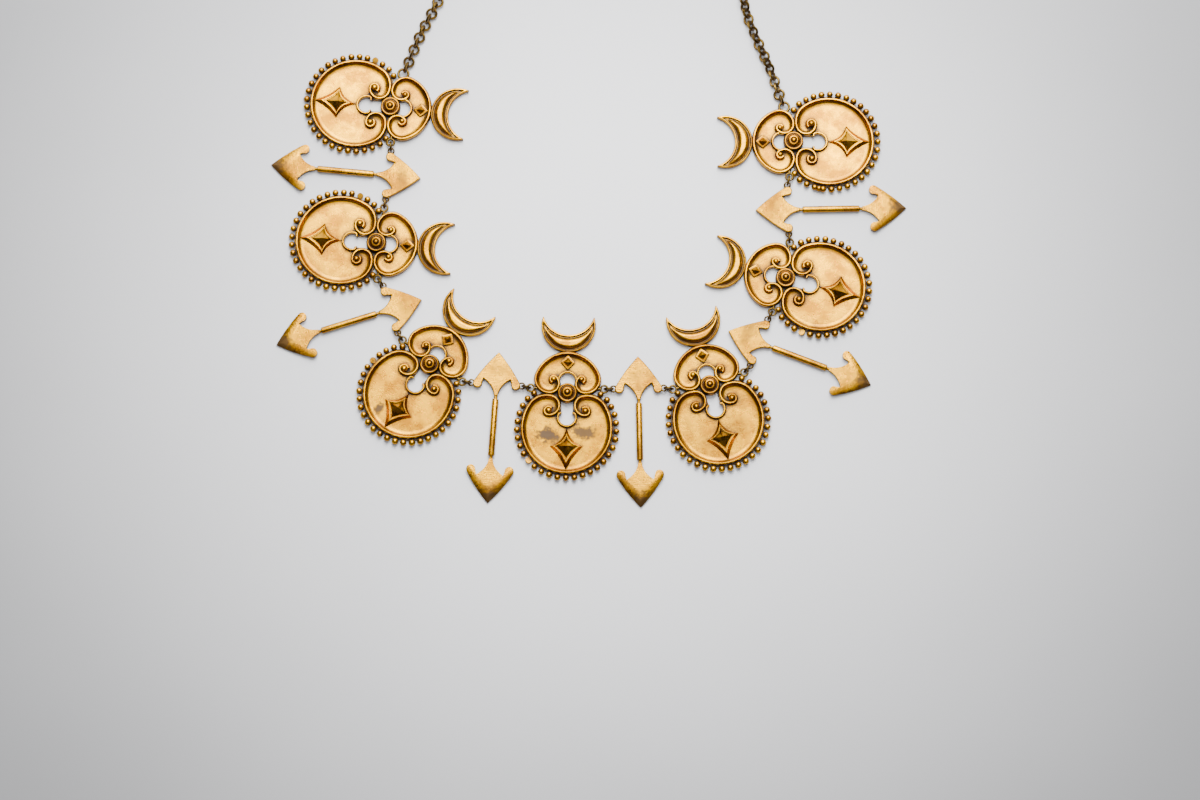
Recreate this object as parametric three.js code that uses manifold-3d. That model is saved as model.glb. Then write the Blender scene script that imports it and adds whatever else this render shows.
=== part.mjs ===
// Bib necklace: seven cast keyhole medallions, each with a crescent, six double-headed arrows between
// them, small rings that join them, and a round-link chain closed by a hook.
// Millimetres, +Z up. The necklace lies on its back on z = 0, crescents turned to the neck opening.
// Its origin is the middle of its outline, on the surface that it lies on.

import * as THREE from 'three';
import { mergeVertices } from 'three/addons/utils/BufferGeometryUtils.js';
import Module from 'manifold-3d';

const wasm = await Module();
wasm.setup();

// Heights of the casting, measured from its flat back.
const floorHeight = 1.1;
const ridgeHeight = 2.2;
const beadHeight = 1.8;
const bossHeight = 4.2;
const starHeight = 2.6;
const starPeak = 3.2;
const diamondHeight = 2.4;

// Large disc of the medallion: a ridge runs round it and curls in at the waist, with beads outside.
const discRadius = 14.1;
const ridgeWidth = 0.95;
const beadDiameter = 2.0;
const beadPitch = 2.7;
const beadsPerSide = 14;
const beadOffset = 1.75;
const ledgeWidth = 1.5;

// Small lobe above the waist, and how far the two ridges are apart there.
const lobeRadius = 10.6;
const waistSpacing = 1.0;
const waistDrop = 0.47;
const waistPlateWidth = 12.5;
const waistPlateDepth = 3.6;

// Each row is an arc of the ridge, from the foot of the disc or the top of the lobe to its curl.
// radius is a share of discRadius or lobeRadius, until is the angle where the next arc takes over.
const discScroll = [
  { radius: 1.0, until: 147.9, steps: 6 },
  { radius: 0.461, until: 76, steps: 3 },
  { radius: 0.22, until: -97, steps: 4 },
];
const lobeScroll = [
  { radius: 1.0, until: 158.8, steps: 3 },
  { radius: 0.42, until: 274, steps: 3 },
  { radius: 0.264, until: 403, steps: 3 },
];

// Round curl that ends each ridge: a button whose top is narrower than its foot.
const curlRadius = 1.2;
const curlReach = 0.6;
const curlRise = 0.3;
const curlTopShare = 0.6;

// Keyhole through the waist with a thin lip: a slot that ends in a round, below and above the boss.
const lipWidth = 0.62;
const lowerRound = { radius: 2.65, reach: 7.8, slot: 4.4, lipSpread: 104, steps: 5 };
const upperRound = { radius: 2.4, reach: 4.05, slot: 5.0, lipSpread: 98, steps: 5 };

// Boss on the middle of the waist, as shares of its radius and height.
const bossRadius = 2.8;
const bossSteps = [
  { radius: 1.16, height: 0.3 },
  { radius: 1.0, height: 0.8 },
  { radius: 0.55, height: 0.93 },
];

// Kite-shaped star on the disc and diamond on the lobe, as shares of discRadius and lobeRadius.
const star = { centre: -0.41, top: 0.395, side: 0.36, bottom: 0.55, hollow: 0.235 };
const starPeakShare = 0.52;
const diamond = { centre: 0.703, top: 0.2, side: 0.18 };

// Crescent soldered to the top of the lobe.
const crescentRadius = 8.7;
const crescentHollow = 8.4;
const crescentShift = 5.45;
const crescentHeight = 2.0;
const crescentRimHeight = 1.4;
const crescentRim = 1.0;
const crescentSeat = 0.3;
const crescentTipCut = 4;
const crescentSteps = 6;
const crescentHollowSteps = 4;

// Flat eyes beside the waist: how far up the lobe and how far out from its ridge they sit.
const ringEye = { radius: 1.18, wire: 0.55, rise: 1.45, reach: 1.95, height: 1.45 };
const chainEye = { radius: 1.75, wire: 0.62, rise: 2.9, reach: 0.9, height: 1.7 };
const eyeFootWidth = 0.9;

// Arrow: the same head at both ends of a round shaft. Reaches are measured from the head's tip.
const arrowLength = 48.5;
const headLength = 14.2;
const headHalfWidth = 7.55;
const headThickness = 1.8;
const sideBulge = 0.35;
const barbRadius = 1.44;
const barbReach = 10.4;
const notchOut = 4.3;
const notchReach = 8.8;
const throatOut = 1.0;
const throatReach = 10.8;
const neckDiameter = 1.0;
const neckLength = 0.9;
const shaftDiameter = 2.1;
const tipEdgeHeight = 0.8;
const tipSlopeWidth = 3.4;
const arrowEye = { radius: 0.95, wire: 0.5, stand: 0.46, height: 1.45 };

// Ring that stands on edge between a medallion's eye and an arrow's.
const ringRadius = 1.36;
const ringWire = 0.68;
const eyeSpacing = 3.05;

// Round-link chain: its end links, and a tube of the links' outer size for the links between them.
const linkDiameter = 4.0;
const linkWire = 0.75;
const linkPlay = 0.25;
const chainGap = 0.3;
const tubeStep = 11.0;

// Hook that closes the chain, a plain S of wire.
const hookRadius = 2.0;
const hookWire = 1.0;
const hookHeight = 1.6;
const hookSweep = 290;

// Sides of the round pieces.
const beadSides = 3;
const curlSides = 6;
const bossSides = 8;
const shaftSides = 8;
const neckSides = 6;
const ringSides = 10;
const wireSides = 5;
const tubeSides = 8;
const hookSteps = 14;

// The lie of the bib, walked outward from the middle medallion's boss. Angles in degrees: a link's
// from the +X axis, an arrow's and a medallion's as turned from upright.
const middleTurn = -1;
const leftWalk = [
  { linkIn: 168, arrow: -4, linkOut: 173, medallion: -35 },
  { linkIn: 124, arrow: -72.5, linkOut: 127, medallion: -94.5 },
  { linkIn: 82, arrow: -95.5, linkOut: 93, medallion: -96 },
];
const rightWalk = [
  { linkIn: 2, arrow: 1, linkOut: -7, medallion: 13.5 },
  { linkIn: 48, arrow: 69, linkOut: 60, medallion: 75.5 },
  { linkIn: 95, arrow: 91, linkOut: 77, medallion: 90 },
];

// Chosen points of the chain's route, from its first link to the hook, seen from the middle boss.
const chainRoutes = {
  left: [[-47.8, 118.8], [-41.9, 130.7], [-34.5, 147], [-22.5, 162.5], [-6.5, 173]],
  right: [[65.3, 107.3], [58.6, 124], [54.5, 142], [45, 159.5], [31.5, 171.5]],
};
const hookPlace = [13, 176.5];

const castGold = { color: 0xc79a52, roughness: 0.42, metalness: 0.9 };
const ringBrass = { color: 0x8a6c38, roughness: 0.4, metalness: 0.9 };
const chainBrass = { color: 0x7c6436, roughness: 0.45, metalness: 0.9 };

const radians = THREE.MathUtils.degToRad;
const degrees = THREE.MathUtils.radToDeg;

function toSolid(geometry) {
  geometry.deleteAttribute('normal');
  geometry.deleteAttribute('uv');
  const merged = mergeVertices(geometry, 1e-5);
  const corners = merged.index.array;
  const triangles = [];
  for (let i = 0; i < corners.length; i += 3) {
    const [a, b, c] = corners.slice(i, i + 3);
    if (a !== b && b !== c && c !== a) {
      triangles.push(a, b, c);
    }
  }
  return new wasm.Manifold(new wasm.Mesh({
    numProp: 3,
    vertProperties: new Float32Array(merged.attributes.position.array),
    triVerts: new Uint32Array(triangles),
  }));
}

function toGeometry(solid) {
  const mesh = solid.getMesh();
  const geometry = new THREE.BufferGeometry();
  geometry.setAttribute('position', new THREE.BufferAttribute(new Float32Array(mesh.vertProperties), 3));
  geometry.setIndex(new THREE.BufferAttribute(new Uint32Array(mesh.triVerts), 1));
  geometry.computeVertexNormals();
  return geometry;
}

// One solid from several, with their flat faces run together.
function join(solids) {
  return solids.reduce((sum, solid) => sum.add(solid)).asOriginal().simplify(1e-3);
}

function slab(points, bottom, top) {
  const shape = new THREE.Shape(points);
  const geometry = new THREE.ExtrudeGeometry(shape, { depth: top - bottom, bevelEnabled: false });
  return toSolid(geometry.translate(0, 0, bottom));
}

function upright(geometry, x, y, z) {
  return toSolid(geometry.rotateX(Math.PI / 2).translate(x, y, z));
}

function polar(centre, radius, angle) {
  const turn = radians(angle);
  return new THREE.Vector2(centre.x + radius * Math.cos(turn), centre.y + radius * Math.sin(turn));
}

function arcPoints(centre, radius, from, until, steps) {
  return Array.from({ length: steps + 1 }, (_, i) => polar(centre, radius, from + (until - from) * i / steps));
}

function arcBand(centre, radius, width, from, until, steps) {
  const outer = arcPoints(centre, radius + width / 2, from, until, steps);
  const inner = arcPoints(centre, radius - width / 2, until, from, steps);
  return [...outer, ...inner];
}

function mirrored(points) {
  return points.map((p) => new THREE.Vector2(-p.x, p.y)).reverse();
}

// A run of points from a curl to the axis, carried on by its mirror image.
function withMirror(points) {
  return [...points, ...mirrored(points).slice(1)];
}

// Tangent arcs from a table: each next centre lies on the line to the point where it takes over.
function tangentArcs(rows, scale, centre, startAngle) {
  const arcs = [];
  for (const row of rows) {
    const radius = row.radius * scale;
    const last = arcs.at(-1);
    const from = last ? last.until : startAngle;
    const middle = last ? polar(last.centre, last.radius - radius, from) : centre;
    arcs.push({ centre: middle, radius, from, until: row.until, steps: row.steps });
  }
  return arcs;
}

function pointsAlong(arcs, offset) {
  return arcs.flatMap((arc, index) => {
    const points = arcPoints(arc.centre, arc.radius + offset, arc.from, arc.until, arc.steps);
    return index ? points.slice(1) : points;
  });
}

// Place and outward angle at a length along the offset arcs.
function placeAlong(arcs, offset, length) {
  let rest = length;
  for (const arc of arcs) {
    const radius = arc.radius + offset;
    const sweep = arc.until - arc.from;
    if (rest <= radius * radians(Math.abs(sweep))) {
      const angle = arc.from + Math.sign(sweep) * degrees(rest / radius);
      return { point: polar(arc.centre, radius, angle), angle };
    }
    rest -= radius * radians(Math.abs(sweep));
  }
  throw new Error('the beads run past the end of the ridge');
}

// The two ridges of the medallion, set on either side of the waist.
const origin = new THREE.Vector2(0, 0);
const discAtOrigin = tangentArcs(discScroll, discRadius, origin, 270)[2];
const lobeAtOrigin = tangentArcs(lobeScroll, lobeRadius, origin, 90)[2];
const discTop = discAtOrigin.centre.y + discAtOrigin.radius;
const lobeFoot = lobeAtOrigin.centre.y - lobeAtOrigin.radius;
const discCentre = new THREE.Vector2(0, -waistDrop - waistSpacing / 2 - discTop);
const lobeCentre = new THREE.Vector2(0, -waistDrop + waistSpacing / 2 - lobeFoot);
const discArcs = tangentArcs(discScroll, discRadius, discCentre, 270);
const lobeArcs = tangentArcs(lobeScroll, lobeRadius, lobeCentre, 90);

function scrollRidge(arcs) {
  const outside = withMirror(pointsAlong(arcs, ridgeWidth / 2).reverse());
  const inside = withMirror(pointsAlong(arcs, -ridgeWidth / 2).reverse());
  return slab([...outside, ...inside.reverse()], 0, ridgeHeight);
}

// Floor inside a ridge, closed straight across between the two curls.
function scrollFloor(arcs, innerAngle) {
  const curl = arcs[2];
  const outline = pointsAlong(arcs.slice(0, 2), 0);
  const inward = arcPoints(curl.centre, curl.radius, curl.from, innerAngle, 2).slice(1);
  return slab(withMirror([...outline, ...inward].reverse()), 0, floorHeight);
}

function keyhole(round, toward) {
  const centre = new THREE.Vector2(0, toward * round.reach);
  const radius = round.radius + lipWidth / 2;
  const spread = 180 - degrees(Math.asin(round.slot / 2 / radius));
  const middle = toward * 90;
  const end = arcPoints(centre, radius, middle - spread, middle + spread, round.steps);
  const feet = [-toward, toward].map((side) => new THREE.Vector2(side * round.slot / 2, 0));
  return slab([...end, ...feet], -floorHeight, 2 * floorHeight);
}

function keyholeLip(round, toward) {
  const centre = new THREE.Vector2(0, toward * round.reach);
  const middle = toward * 90;
  const radius = round.radius + lipWidth / 2;
  const band = arcBand(centre, radius, lipWidth, middle - round.lipSpread, middle + round.lipSpread, round.steps);
  return slab(band, 0, ridgeHeight);
}

// Row of beads round the disc, one at its foot, on a narrow ledge outside the ridge.
function beadedLedge() {
  const neckAngle = degrees(Math.acos((ledgeWidth - beadOffset) / (beadDiameter / 2)));
  const outer = [];
  for (let i = 0; i <= beadsPerSide; i += 1) {
    const { point, angle } = placeAlong(discArcs, beadOffset, i * beadPitch);
    const start = i ? neckAngle : 0;
    const steps = i ? beadSides : Math.ceil(beadSides / 2);
    outer.push(...arcPoints(point, beadDiameter / 2, angle + start, angle - neckAngle, steps));
  }
  const [foot, shoulder] = discArcs;
  const lastBead = placeAlong(discArcs, beadOffset, beadsPerSide * beadPitch);
  const inner = [
    ...arcPoints(foot.centre, foot.radius, foot.from, foot.until, foot.steps),
    polar(shoulder.centre, shoulder.radius, (foot.until + lastBead.angle) / 2),
    polar(shoulder.centre, shoulder.radius, lastBead.angle),
  ];
  return slab([...withMirror(outer.reverse()), ...withMirror(inner.reverse()).reverse()], 0, beadHeight);
}

function curls(arcs) {
  const { centre, radius, until } = arcs.at(-1);
  const bottom = floorHeight / 2;
  const top = ridgeHeight + curlRise;
  const place = polar(centre, radius - curlReach, until);
  return [-1, 1].map((side) => {
    const button = new THREE.CylinderGeometry(curlRadius * curlTopShare, curlRadius, top - bottom, curlSides);
    return upright(button, -side * place.x, place.y, (bottom + top) / 2);
  });
}

function boss() {
  const rows = bossSteps.map((row) => new THREE.Vector2(row.radius * bossRadius, row.height * bossHeight));
  const foot = new THREE.Vector2(rows[0].x, 0);
  const profile = [origin, foot, ...rows, new THREE.Vector2(0, bossHeight)];
  return upright(new THREE.LatheGeometry(profile, bossSides), 0, 0, 0);
}

// Pyramid on a base of four or eight corners, whose distances from the middle are listed in turn from
// the foot round to the top.
function kitePyramid(corners, centre, bottom, top) {
  const cone = new THREE.ConeGeometry(1, top - bottom, corners.length, 1);
  const place = cone.attributes.position;
  for (let i = 0; i < place.count; i += 1) {
    const x = place.getX(i);
    const z = place.getZ(i);
    const turn = Math.atan2(x, z) / (2 * Math.PI);
    const corner = (Math.round(turn * corners.length) + corners.length) % corners.length;
    place.setX(i, x * corners[corner]);
    place.setZ(i, z * corners[corner]);
  }
  return upright(cone, centre.x, centre.y, (bottom + top) / 2);
}

function discStar() {
  const centre = new THREE.Vector2(0, discCentre.y + star.centre * discRadius);
  const [top, side, bottom, hollow] = [star.top, star.side, star.bottom, star.hollow].map((s) => s * discRadius);
  const outline = [bottom, hollow, side, hollow, top, hollow, side, hollow];
  const peak = [bottom, side, top, side].map((s) => s * starPeakShare);
  return [
    kitePyramid(outline, centre, floorHeight / 2, starHeight),
    kitePyramid(peak, centre, (floorHeight + starHeight) / 2, starPeak),
  ];
}

function lobeDiamond() {
  const centre = new THREE.Vector2(0, lobeCentre.y + diamond.centre * lobeRadius);
  const [top, side] = [diamond.top * lobeRadius, diamond.side * lobeRadius];
  return kitePyramid([top, side, top, side], centre, floorHeight / 2, diamondHeight);
}

// Crescent between an outer and a hollow circle, drawn in by an inset on both.
function crescentOutline(inset) {
  const outer = crescentRadius - inset;
  const hollow = crescentHollow + inset;
  const rise = (crescentShift ** 2 + outer ** 2 - hollow ** 2) / (2 * crescentShift);
  const centre = new THREE.Vector2(0, lobeCentre.y + lobeRadius + crescentSeat + crescentRadius);
  const hollowCentre = new THREE.Vector2(0, centre.y + crescentShift);
  const outerTip = degrees(Math.asin(rise / outer)) - crescentTipCut;
  const hollowTip = degrees(Math.asin((rise - crescentShift) / hollow)) - crescentTipCut;
  return [
    ...arcPoints(centre, outer, 180 - outerTip, 360 + outerTip, crescentSteps),
    ...arcPoints(hollowCentre, hollow, 360 + hollowTip, 180 - hollowTip, crescentHollowSteps),
  ];
}

function crescent() {
  const plate = slab(crescentOutline(0), 0, crescentRimHeight);
  return plate.add(slab(crescentOutline(crescentRim), 0, crescentHeight));
}

// Outer face of the lobe's ridge beside the waist, at a height above the boss.
function lobeFace(rise) {
  const arc = lobeArcs[1];
  const radius = arc.radius + ridgeWidth / 2;
  return -arc.centre.x + Math.sqrt(radius ** 2 - (rise - arc.centre.y) ** 2);
}

function eyePlace(eye) {
  return new THREE.Vector2(lobeFace(eye.rise) + eye.reach, eye.rise);
}

function flatRing(eye, x, y) {
  const [outer, inner, half] = [eye.radius + eye.wire / 2, eye.radius - eye.wire / 2, eye.wire / 2];
  const section = [[inner, -half], [outer, -half], [outer, half], [inner, half], [inner, -half]];
  const ring = new THREE.LatheGeometry(section.map(([x0, y0]) => new THREE.Vector2(x0, y0)), ringSides);
  return upright(ring, x, y, eye.height);
}

function waistEye(eye, side) {
  const place = eyePlace(eye);
  const inner = lobeFace(eye.rise) - ridgeWidth / 2;
  const length = place.x - eye.radius - inner;
  const ring = flatRing(eye, side * place.x, place.y);
  if (length < 0) {
    return ring;
  }
  const foot = new THREE.BoxGeometry(length, eyeFootWidth, eye.wire);
  return ring.add(toSolid(foot.translate(side * (inner + length / 2), place.y, eye.height)));
}

function medallionGeometry(leftEye, rightEye) {
  const waist = new THREE.BoxGeometry(waistPlateWidth, waistPlateDepth, floorHeight)
    .translate(0, -waistDrop, floorHeight / 2);
  const floors = join([scrollFloor(discArcs, 0), scrollFloor(lobeArcs, 360), toSolid(waist)]);
  return toGeometry(join([
    floors.subtract(keyhole(lowerRound, -1)).subtract(keyhole(upperRound, 1)),
    beadedLedge(),
    scrollRidge(discArcs),
    scrollRidge(lobeArcs),
    keyholeLip(lowerRound, -1),
    keyholeLip(upperRound, 1),
    ...curls(discArcs),
    ...curls(lobeArcs),
    boss(),
    ...discStar(),
    lobeDiamond(),
    crescent(),
    waistEye(leftEye, -1),
    waistEye(rightEye, 1),
  ]));
}

// Line from the head's tip that just touches the barb's round end.
const barbCentre = new THREE.Vector2(headHalfWidth - barbRadius, barbReach);
const sideAngle = degrees(barbCentre.angle() - Math.asin(barbRadius / barbCentre.length()));

// Half outline of a head from its tip to its neck, with the tip at zero and the neck above it.
function halfHead() {
  const touch = polar(barbCentre, barbRadius, sideAngle - 90);
  const bulge = polar(touch.clone().multiplyScalar(0.5), 2 * sideBulge, sideAngle - 90);
  const notch = new THREE.Vector2(notchOut, notchReach);
  const throat = new THREE.Vector2(throatOut, throatReach);
  const neck = new THREE.Vector2(neckDiameter / 2, headLength);
  return [
    ...new THREE.QuadraticBezierCurve(origin, bulge, touch).getPoints(2),
    ...arcPoints(barbCentre, barbRadius, sideAngle - 90, 190, 3).slice(1),
    ...new THREE.QuadraticBezierCurve(notch, throat, neck).getPoints(2),
  ];
}

// The outer head's top slopes down to the two sides that meet at its tip.
function slopeCut(side) {
  const slope = Math.atan((headThickness - tipEdgeHeight) / tipSlopeWidth);
  const cut = new THREE.BoxGeometry(arrowLength, arrowLength, headLength).translate(0, 0, headLength / 2);
  return toSolid(cut.rotateX(slope)
    .rotateZ(side * radians(sideAngle))
    .translate(0, -arrowLength / 2, tipEdgeHeight));
}

const arrowEyePlace = new THREE.Vector2(
  barbCentre.x + barbRadius + arrowEye.stand,
  arrowLength / 2 - barbReach,
);

function arrowGeometry() {
  const half = halfHead();
  const edge = [...half, ...mirrored(half).slice(0, -1)];
  const head = slab(edge, 0, headThickness).translate([0, -arrowLength / 2, 0]);
  const shaftLength = arrowLength - 2 * (headLength + neckLength);
  const rod = (diameter, length, sides) => toSolid(
    new THREE.CylinderGeometry(diameter / 2, diameter / 2, length, sides)
      .translate(0, 0, shaftDiameter / 2),
  );
  return toGeometry(join([
    head.rotate([0, 0, 180]),
    head.subtract(slopeCut(1)).subtract(slopeCut(-1)),
    rod(shaftDiameter, shaftLength, shaftSides),
    rod(neckDiameter, shaftLength + 3 * neckLength, neckSides),
    flatRing(arrowEye, -arrowEyePlace.x, arrowEyePlace.y),
    flatRing(arrowEye, arrowEyePlace.x, arrowEyePlace.y),
  ]));
}

function hookGeometry() {
  const loops = [
    ...arcPoints(new THREE.Vector2(-hookRadius, 0), hookRadius, -hookSweep, 0, hookSteps / 2),
    ...arcPoints(new THREE.Vector2(hookRadius, 0), hookRadius, 180, 180 - hookSweep, hookSteps / 2).slice(1),
  ];
  const path = new THREE.CatmullRomCurve3(loops.map((p) => new THREE.Vector3(p.x, p.y, hookHeight)));
  const wire = new THREE.Shape(arcPoints(origin, hookWire / 2, 0, 300, 5));
  return new THREE.ExtrudeGeometry(wire, { steps: hookSteps, extrudePath: path, bevelEnabled: false });
}

function tubeGeometry(points) {
  const height = linkDiameter / 2;
  const path = new THREE.CatmullRomCurve3(points.map((p) => new THREE.Vector3(p.x, p.y, height)));
  const corner = height / Math.cos(Math.PI / tubeSides);
  const first = 180 / tubeSides;
  const section = arcPoints(origin, corner, first, first + 360 * (tubeSides - 1) / tubeSides, tubeSides - 1);
  const steps = Math.ceil(path.getLength() / tubeStep);
  return new THREE.ExtrudeGeometry(new THREE.Shape(section), { steps, extrudePath: path, bevelEnabled: false });
}

const necklace = new THREE.Group();

function addPiece(name, geometry, finish, place = origin, turn = 0) {
  const piece = new THREE.Mesh(geometry, new THREE.MeshStandardMaterial(finish));
  piece.name = name;
  piece.position.set(place.x, place.y, 0);
  piece.rotation.z = radians(turn);
  necklace.add(piece);
}

function ringOnEdge(radius, wire) {
  const ring = new THREE.TorusGeometry(radius, wire / 2, wireSides, ringSides);
  return ring.rotateX(Math.PI / 2).translate(0, 0, radius + wire / 2);
}

function seenFrom(place, turn, point) {
  return point.clone().rotateAround(origin, radians(turn)).add(place);
}

const ringEyePlace = eyePlace(ringEye);
const chainEyePlace = eyePlace(chainEye);
const plainMedallion = medallionGeometry(ringEye, ringEye);
const arrow = arrowGeometry();
const ring = ringOnEdge(ringRadius, ringWire);
const chainLink = ringOnEdge((linkDiameter - linkWire) / 2, linkWire);

function addRing(name, from, angle) {
  addPiece(name, ring, ringBrass, polar(from, eyeSpacing / 2, angle), angle);
  return polar(from, eyeSpacing, angle);
}

// Lays one side of the bib from the middle medallion outward, and gives its last chain eye's place.
function laySide(side, rows) {
  const medallionEye = (near) => new THREE.Vector2(near * side * ringEyePlace.x, ringEyePlace.y);
  const headEye = (near) => new THREE.Vector2(near * side * arrowEyePlace.x, arrowEyePlace.y);
  let place = origin;
  let turn = middleTurn;
  rows.forEach((row, index) => {
    const arrowNumber = side < 0 ? rows.length - index : rows.length + 1 + index;
    const medallionNumber = rows.length + 1 + side * (index + 1);
    const firstRing = 2 * arrowNumber - (side < 0 ? 0 : 1);
    const arrowNear = addRing(`jump_ring_${firstRing}`, seenFrom(place, turn, medallionEye(1)), row.linkIn);
    const arrowPlace = seenFrom(arrowNear, row.arrow, headEye(-1).negate());
    addPiece(`arrow_${arrowNumber}`, arrow, castGold, arrowPlace, row.arrow);
    const arrowFar = seenFrom(arrowPlace, row.arrow, headEye(1));
    const nextEye = addRing(`jump_ring_${firstRing + side}`, arrowFar, row.linkOut);
    place = seenFrom(nextEye, row.medallion, medallionEye(-1).negate());
    turn = row.medallion;
    const last = index === rows.length - 1;
    const geometry = last && side < 0 ? medallionGeometry(chainEye, ringEye)
      : last ? medallionGeometry(ringEye, chainEye)
        : plainMedallion;
    addPiece(`medallion_${medallionNumber}`, geometry, castGold, place, turn);
  });
  return seenFrom(place, turn, new THREE.Vector2(side * chainEyePlace.x, chainEyePlace.y));
}

// An end link on edge through a flat loop. Gives the place where the tube begins beyond it.
function addEndLink(name, loopCentre, loopRadius, loopWire, toward) {
  const angle = degrees(toward.clone().sub(loopCentre).angle());
  const reach = loopRadius - loopWire / 2 - linkPlay - linkWire + linkDiameter / 2;
  addPiece(name, chainLink, chainBrass, polar(loopCentre, reach, angle), angle);
  return polar(loopCentre, reach + linkDiameter / 2 + chainGap, angle);
}

function layChain(sideName, side, eye) {
  const route = chainRoutes[sideName].map(([x, y]) => new THREE.Vector2(x, y));
  const loop = new THREE.Vector2(hookPlace[0] + side * hookRadius, hookPlace[1]);
  const start = addEndLink(`first_link_${sideName}`, eye, chainEye.radius, chainEye.wire, route[0]);
  const end = addEndLink(`last_link_${sideName}`, loop, hookRadius, hookWire, route.at(-1));
  addPiece(`chain_${sideName}`, tubeGeometry([start, ...route, end]), chainBrass);
}

addPiece('medallion_4', plainMedallion, castGold, origin, middleTurn);
layChain('left', -1, laySide(-1, leftWalk));
layChain('right', 1, laySide(1, rightWalk));
addPiece('hook', hookGeometry(), chainBrass, new THREE.Vector2(...hookPlace));

// The origin moves to the middle of the outline, on the surface.
const outline = new THREE.Box3().setFromObject(necklace);
const middle = outline.getCenter(new THREE.Vector3());
necklace.position.set(-middle.x, -middle.y, -outline.min.z);

const group = new THREE.Group();
group.add(necklace);

export default group;
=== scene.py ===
"""Bib necklace of cast medallions and double-headed arrows, lying flat on pale paper.

Shapes are modelled in millimetres in each piece's own frame, and placed in metres where the frame's
nodes lie. A medallion's own frame has its boss at the origin and its crescent toward +Y. An arrow's has
the middle of its shaft at the origin and its inner head toward +Y.
"""

import math
import random

import bmesh
import bpy
from bpy.props import FloatProperty, FloatVectorProperty, IntProperty, PointerProperty
from mathutils import Matrix, Vector


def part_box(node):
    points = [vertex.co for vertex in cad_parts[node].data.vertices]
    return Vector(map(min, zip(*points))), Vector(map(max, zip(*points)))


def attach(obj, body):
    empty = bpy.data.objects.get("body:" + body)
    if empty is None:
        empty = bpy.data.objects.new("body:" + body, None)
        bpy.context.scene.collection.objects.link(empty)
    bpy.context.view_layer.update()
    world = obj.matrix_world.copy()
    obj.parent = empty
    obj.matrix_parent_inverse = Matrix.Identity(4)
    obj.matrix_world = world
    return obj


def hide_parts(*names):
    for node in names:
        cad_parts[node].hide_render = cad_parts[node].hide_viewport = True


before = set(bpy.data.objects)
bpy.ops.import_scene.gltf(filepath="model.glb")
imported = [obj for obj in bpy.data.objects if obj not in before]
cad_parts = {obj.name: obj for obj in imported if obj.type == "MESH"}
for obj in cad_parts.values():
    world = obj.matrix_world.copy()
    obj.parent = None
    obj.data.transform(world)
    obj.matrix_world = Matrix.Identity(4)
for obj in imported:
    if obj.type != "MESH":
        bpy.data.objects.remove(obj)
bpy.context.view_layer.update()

bl_info = {
    "name": "Bib Necklace",
    "version": (1, 0, 0),
    "blender": (4, 5, 0),
    "location": "View3D > Sidebar > Necklace",
    "description": "Models a bib necklace of cast medallions, arrows, rings and round-link chain",
    "category": "Add Mesh",
}

MM = 0.001
UP = Vector((0, 0, 1))
ORIGIN = Vector((0, 0, 0))
ON_EDGE = Matrix.Rotation(math.pi / 2, 4, "X")
MEDALLIONS = [f"medallion_{number}" for number in range(1, 8)]
ARROWS = [f"arrow_{number}" for number in range(1, 7)]
JUMP_RINGS = [f"jump_ring_{number}" for number in range(1, 13)]
MIDDLE = "medallion_4"

# Distances in millimetres below which points count as one, and heights as the same.
WELD = 0.001
SAME_HEIGHT = 0.01

# Heights in the solids that tell how a piece lies: the star's peak and the edge of an arrow's slopes.
STAR_PEAK = 3.2
TIP_EDGE_HEIGHT = 0.8

# Scroll arcs, each tangent to the one before it: radius, and the angle where the next takes over.
DISC_SCROLL = ((14.1, 147.9), (6.5, 76.0), (3.1, -97.0), (1.32, -315.0))
LOBE_SCROLL = ((10.6, 158.8), (4.45, 274.0), (2.9, 410.0), (1.06, 605.0))

# Between the two scrolls at the waist: how far the middle lies below the boss's, and the space.
WAIST_DROP = 0.47
WAIST_SPACING = 1.0

# Crescent: radius, hollow radius, how far the hollow's centre lies beyond the other, how far it stands
# off the middle of the lobe's ridge, and the angle taken off its tips.
CRESCENT = {"radius": 8.7, "hollow": 8.4, "shift": 5.45, "seat": 0.3, "tip_cut": 3.0}

# Floor: how far it reaches beyond the middle of the ridges under the beads, and the angles at which its
# outline leaves the disc's shoulder and takes up the lobe's cheek.
FLOOR = {"ledge": 1.0, "shoulder_end": 103, "cheek_end": 242}

# Round ends of the keyhole: centre, the way that the end faces, radius of the floor's edge and the angle
# where it ends, radius of the lip, how far the lip spreads either way, and radius of its hooked ends.
KEYHOLE_HEAD = {
    "centre": Vector((0, 3.95, 0)), "toward": 90, "edge": 2.45, "edge_end": 196, "lip": 2.88,
    "spread": 98, "hook": 0,
}
KEYHOLE_FOOT = {
    "centre": Vector((0, -7.84, 0)), "toward": 270, "edge": 2.5, "edge_end": 136, "lip": 2.88,
    "spread": 106, "hook": 0.8,
}
KEYHOLE_WAIST = (Vector((-2.3, 1.0, 0)), Vector((-2.0, -1.0, 0)))

# Lip: its height as a share of the ridges' over the floor, and the sweep of its hooked ends.
LIP = {"rise": 0.85, "hook_sweep": 95}

# Balls in the curls: radius on the disc and on the lobe, how far their middles lie below the ridges'
# crest, and how much they are drawn upward.
CURL_BALL = {"disc": 1.06, "lobe": 0.9, "sink": 0.5, "stretch": 1.15}

# Rounding of edges on the floor, the arrow heads and the shafts.
SOFTENING = {"floor": 0.12, "head": 0.3, "shaft": 0.28}

# Across the crescent, from its back face to the crest of its body: inset from the outline, and height.
CRESCENT_STEPS = (
    (0.0, 0.05), (0.0, 1.4), (0.1, 1.66), (0.25, 1.76), (0.48, 1.77), (0.6, 1.62), (0.68, 1.3),
    (0.82, 1.1), (1.05, 1.12), (1.35, 1.5), (1.7, 1.9), (2.1, 2.08), (2.35, 2.12),
)

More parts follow.
